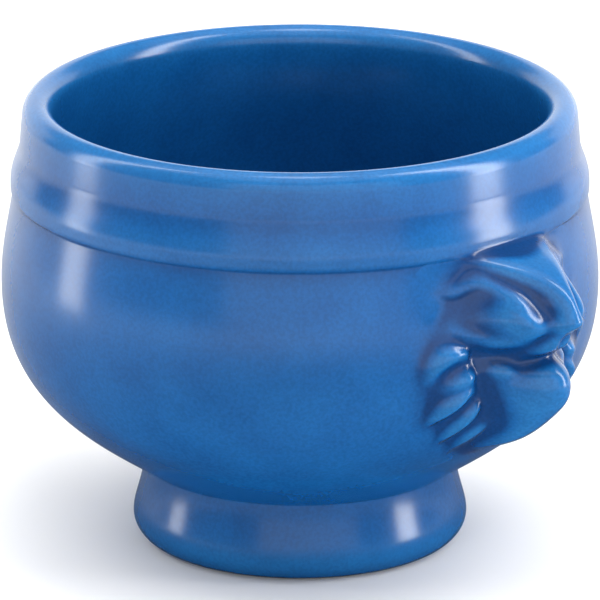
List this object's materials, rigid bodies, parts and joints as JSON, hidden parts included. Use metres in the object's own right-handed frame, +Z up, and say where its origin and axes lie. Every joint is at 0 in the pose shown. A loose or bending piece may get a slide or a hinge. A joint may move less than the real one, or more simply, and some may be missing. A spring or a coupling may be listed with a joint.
{
  "type": "lion head soup bowl",
  "caption": "Footed round ceramic soup bowl with a raised band under a thick rounded lip, and a lion-head lug on each side.",
  "frame": {"origin": "on the ground under the middle of the bowl", "axes": "+Z up along the bowl's axis, +X out through one lion head, the other head on -X, +Y across"},
  "size_m": [0.1564, 0.12, 0.092],
  "materials": {
    "blue_glaze": "glossy mid-blue glaze over a pale body"
  },
  "bodies": {
    "root": {"bowl_body": "blue_glaze", "foot_ring": "blue_glaze", "lion_head_right": "blue_glaze", "lion_head_left": "blue_glaze"}
  },
  "joints": []
}
